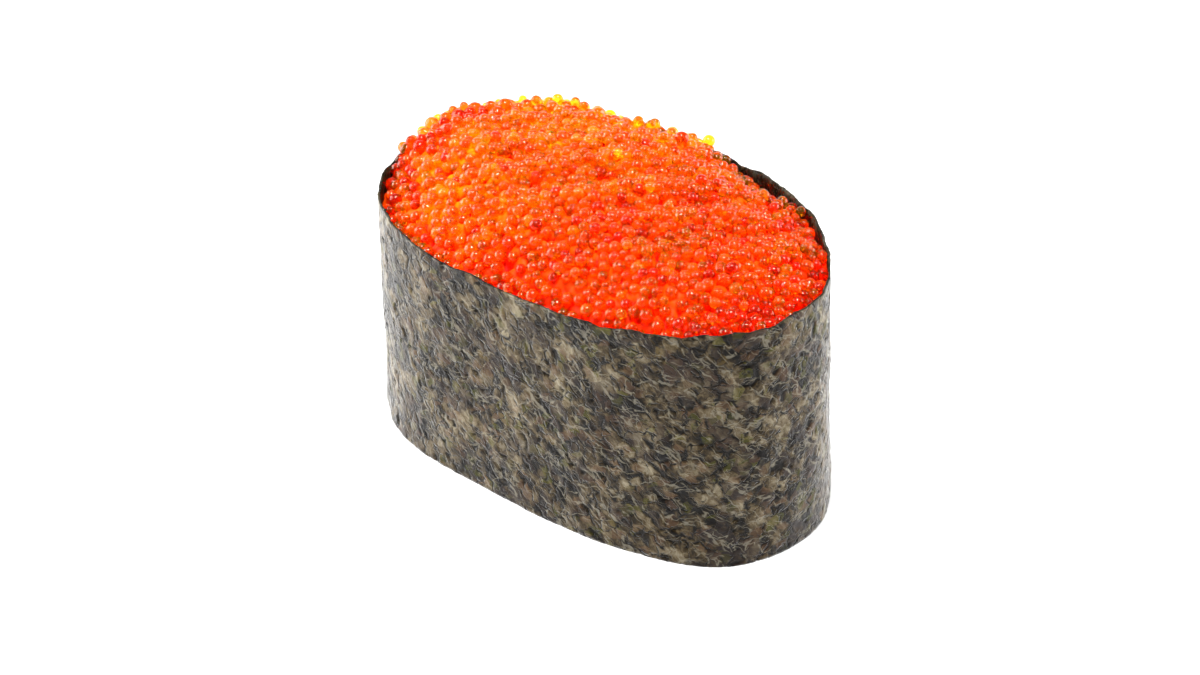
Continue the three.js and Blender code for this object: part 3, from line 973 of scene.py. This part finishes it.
def room_at_foot(x, y):
    """How far a place is from the sheet's inner face at the foot, whose outline is moved and spread."""
    spread = np.where(y + MIDDLE[1] > 0, FOOT_BACK_SPREAD, 1)
    return room_beside_nori(x - FOOT_SHIFT, (y + MIDDLE[1]) / spread - MIDDLE[1])


def lay_grains(seed):
    """Centres and headings of the grains of every layer."""
    rng = np.random.default_rng(seed)
    laid = []
    for layer in GRAIN_LAYERS:
        discs = np.zeros((0, 2))
        for _ in range(GRAIN_TRIES):
            centre = rng.uniform(BED_LOWEST, BED_HIGHEST)
            heading = rng.uniform(0, np.pi)
            along = np.array([np.cos(heading), np.sin(heading)]) * DISC_SPACING
            own = centre + along * np.array([[-1], [0], [1]])
            if room_at_foot(own[:, 0], own[:, 1]).min() < 0.5 * GRAIN_WIDTH:
                continue
            gaps = np.linalg.norm(discs[:, None] - own[None], axis=-1)
            if not gaps.size or gaps.min() > GRAIN_GAP:
                discs = np.concatenate([discs, own])
                laid.append((*centre, layer + rng.uniform(*GRAIN_SETTLING), heading))
    return np.array(laid)


laid_grains = lay_grains(LAYING_SEED)
print("grains laid:", len(laid_grains))

# %% [markdown]
# A grain is a run of rings round an axis, closed by one point at each end. Each copy gets its own size,
# a slight bend and a slight tilt, and whatever would sink into the floor is pressed flat on it.

# %% Grains
GRAIN_RINGS = 7
GRAIN_SIDES = 9
GRAIN_FLATNESS = 0.9
GRAIN_SIZES = (0.88, 1.1)
GRAIN_BEND = 0.5
GRAIN_TILT = 0.08
PRESSED_TO = 0.03


def grain_template():
    """Rings of radius sin(a)^0.7 at cos(a) along a straight axis, and a point at each end."""
    angle = np.linspace(0, np.pi, GRAIN_RINGS + 2)[1:-1, None]
    side = np.linspace(0, 2 * np.pi, GRAIN_SIDES, endpoint=False)[None]
    radius = np.sin(angle) ** 0.7
    rings = np.stack([np.cos(angle) + 0 * side, radius * np.cos(side), radius * np.sin(side)], -1)
    points = np.concatenate([rings.reshape(-1, 3), [(1, 0, 0), (-1, 0, 0)]])
    quads = grid_faces(GRAIN_RINGS, GRAIN_SIDES, close_columns=True)
    here, after = np.arange(GRAIN_SIDES), (np.arange(GRAIN_SIDES) + 1) % GRAIN_SIDES
    last = (GRAIN_RINGS - 1) * GRAIN_SIDES
    first_tip, last_tip = len(points) - 2, len(points) - 1
    first_fan = np.stack([after, here, np.full(GRAIN_SIDES, first_tip)], -1)
    last_fan = np.stack([last + here, last + after, np.full(GRAIN_SIDES, last_tip)], -1)
    faces = np.concatenate([quads[:, [0, 1, 2]], quads[:, [0, 2, 3]], first_fan, last_fan])
    return points, faces[:, ::-1]


def grain_points(grains, rng):
    """All grains in place: sized, bent by a parabola, headed, tilted a little, and pressed flat."""
    template, faces = grain_template()
    count = len(grains)
    half = np.array([GRAIN_LENGTH, GRAIN_WIDTH, GRAIN_FLATNESS * GRAIN_WIDTH]) / 2
    local = template[None] * (half * rng.uniform(*GRAIN_SIZES, (count, 1, 3)))
    bend = rng.uniform(-GRAIN_BEND, GRAIN_BEND, (count, 1))
    local[..., 1] += bend * (template[None, :, 0] ** 2 - 0.4)
    tilt, heading = rng.normal(0, GRAIN_TILT, (count, 1)), grains[:, 3:]
    raised = local[..., 2] + tilt * local[..., 0]
    x = local[..., 0] * np.cos(heading) - local[..., 1] * np.sin(heading) + grains[:, :1]
    y = local[..., 0] * np.sin(heading) + local[..., 1] * np.cos(heading) + grains[:, 1:2]
    points = np.stack([x, y, np.maximum(raised + grains[:, 2:3], PRESSED_TO)], -1)
    return points.reshape(-1, 3), repeat_faces(faces, count, len(template))


print("one grain:", len(grain_template()[0]), "points and", len(grain_template()[1]), "faces")

# %% [markdown]
# The core that the grains press into is a closed bed. Its underside swells down round each scattered
# point, as grains do, with hollows between, and its plain sides and top are hidden by the nori and roe.

# %% Rice
BED_SEED = 41
GRAINS_SEED = 52
RICE_COLUMNS = 240
RICE_ROWS = 60
RICE_UNDERSIDE = 1.7
SWELLING_LENGTH = 3.2
SWELLING_WIDTH = 2.6
HOLLOW_DEPTH = 1.1
SWELLING_RISE = 0.3

# The bed's side, as shares of its height with the height of each in mm, and its top, by shares inwards.
BED_SIDE = ((0.3, 5.0), (0.6, 10.0), (1.0, RICE_HEIGHT))
BED_TOP = (0.6, 0.0)


def rice_core():
    """The bed's closed core: underside from the middle out, side up, top back in."""
    turns = even_turns(RICE_COLUMNS + 1)[0][:-1]
    share, turn = np.meshgrid(np.linspace(0, 1, RICE_ROWS), turns, indexing="ij")
    flat = inside_wall(turn, 0.0) * share[..., None]
    near, _, own = cells(flat[..., 0] / SWELLING_LENGTH, flat[..., 1] / SWELLING_WIDTH, BED_SEED)
    under = at_height(flat, RICE_UNDERSIDE + HOLLOW_DEPTH * near + SWELLING_RISE * own)
    bed_level = RICE_HEIGHT / RIM_HEIGHT
    side = [at_height(inside_wall(turns, k * bed_level), z) for k, z in BED_SIDE]
    top = [at_height(inside_wall(turns, bed_level) * k, RICE_HEIGHT) for k in BED_TOP]
    return np.concatenate([under, np.array(side + top)])


def rice_material(name):
    """Cooked rice: warm white, a little translucent, with a dull sheen."""
    material, tree, shader = new_material(
        name, Roughness=0.45, IOR=1.4, Subsurface_Weight=0.35, Subsurface_Scale=1.5 * MM)
    shader.inputs["Subsurface Radius"].default_value = (1.0, 0.8, 0.6)
    place = add_node(tree, "TexCoord").outputs["Object"]
    tone = add_node(tree, "TexNoise", links={"Vector": place}, Scale=0.4 / MM, Detail=3.0).outputs[0]
    colour = ramp(tree, tone, ((0.35, (0.78, 0.73, 0.6)), (0.65, (0.9, 0.88, 0.8))))
    tree.links.new(colour, shader.inputs["Base Color"])
    return material


def make_rice():
    """The bed's core and its real grains."""
    core = rice_core()
    make_piece("rice_core", core, grid_faces(len(core), RICE_COLUMNS, close_columns=True).tolist(),
               rice_material("rice_core"), "rice_bed", "rice")
    points, faces = grain_points(laid_grains, np.random.default_rng(GRAINS_SEED))
    make_piece("rice_grains", points, faces.tolist(), rice_material("rice_grains"), "rice_bed", "rice")


make_rice()

# %% [markdown]
# The piece stands on a plain pale floor. One softbox overhead gives each egg its small highlight, and
# low ones at the left and behind brush along the strip, whose sheen turns their light into pale edges.
# The camera has a long lens and looks down on the piece from its front right corner.

# %% Floor, light and camera
FLOOR_HALF = 1.5
FLOOR_CORNERS = ((-1, -1), (1, -1), (1, 1), (-1, 1))
FLOOR_COLOUR = (0.82, 0.82, 0.82, 1)
WORLD_COLOUR = (1, 1, 1, 1)
WORLD_STRENGTH = 0.12

# Softboxes, all at one distance in metres: azimuth and elevation in degrees, size in metres, watts.
SOFTBOX_DISTANCE = 0.7
SOFTBOXES = (
    ("overhead", 30, 84, 0.24, 9),
    ("left_front", -63, 17, 0.6, 10),
    ("left_back", -125, 15, 0.6, 1),
    ("right_back", 146, 11, 0.5, 7),
)

# The camera: degrees, millimetres, and how far its target lies from the middle of its view.
CAMERA_AZIMUTH = 45.247
CAMERA_ELEVATION = 32.336
CAMERA_DISTANCE = 462.2
CAMERA_LENS = 138.5
CAMERA_ROLL = 0.26
CAMERA_CLIP = 0.01
TARGET = (-0.234, -1.664, 12.67)
TARGET_RIGHT = 0.99
TARGET_UP = 0.69


def add_floor():
    """A wide pale plane under the piece."""
    mesh = bpy.data.meshes.new("floor")
    mesh.from_pydata([(x * FLOOR_HALF, y * FLOOR_HALF, 0) for x, y in FLOOR_CORNERS], [], [(0, 1, 2, 3)])
    material, _, shader = new_material("floor", Roughness=0.35, IOR=1.45)
    shader.inputs["Base Color"].default_value = FLOOR_COLOUR
    mesh.materials.append(material)
    floor = bpy.data.objects.new("floor", mesh)
    bpy.context.scene.collection.objects.link(floor)
    floor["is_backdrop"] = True


def way_to(azimuth, elevation):
    """The unit step from the origin towards azimuth 0, in front, or 90, at +X, and up by elevation."""
    a, e = np.radians(azimuth), np.radians(elevation)
    return Vector((np.sin(a) * np.cos(e), -np.cos(a) * np.cos(e), np.sin(e)))


def add_softbox(name, azimuth, elevation, size, power):
    """A square area light that faces the piece."""
    light = bpy.data.lights.new(name, "AREA")
    light.energy = power
    light.size = size
    lamp = bpy.data.objects.new(name, light)
    bpy.context.scene.collection.objects.link(lamp)
    place = way_to(azimuth, elevation) * SOFTBOX_DISTANCE
    lamp.location = place
    lamp.rotation_euler = place.to_track_quat("Z", "Y").to_euler()


def add_camera():
    """A long lens that looks down on the piece from its front right corner."""
    back = way_to(CAMERA_AZIMUTH, CAMERA_ELEVATION)
    right = way_to(CAMERA_AZIMUTH + 90, 0)
    up = back.cross(right)
    target = Vector(TARGET)
    place = target + back * CAMERA_DISTANCE
    aim = target - right * TARGET_RIGHT - up * TARGET_UP
    camera = bpy.data.objects.new("camera", bpy.data.cameras.new("camera"))
    bpy.context.scene.collection.objects.link(camera)
    camera.location = place * MM
    turn = (place - aim).to_track_quat("Z", "Y")
    camera.rotation_euler = (turn @ Euler((0, 0, np.radians(CAMERA_ROLL))).to_quaternion()).to_euler()
    camera.data.lens = CAMERA_LENS
    camera.data.clip_start = CAMERA_CLIP
    bpy.context.scene.camera = camera
    print("camera at, mm:", [round(v, 1) for v in place])


def add_world():
    """An even, faint white light from all sides."""
    world = bpy.data.worlds.new("studio")
    world.use_nodes = True
    background = world.node_tree.nodes["Background"]
    background.inputs["Color"].default_value = WORLD_COLOUR
    background.inputs["Strength"].default_value = WORLD_STRENGTH
    bpy.context.scene.world = world


add_floor()
for softbox in SOFTBOXES:
    add_softbox(*softbox)
add_camera()
add_world()
bpy.context.scene.view_settings.view_transform = "Standard"

# %% [markdown]
# Last, the box of the dressed piece is set beside the box of its solids.

# %% Size
lists = {"cad": [list(v) for v in cad_bounds], "visual": [list(v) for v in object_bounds()]}
for label, corners in lists.items():
    print(label, "box, mm:", [[round(v / MM, 2) for v in corner] for corner in corners])
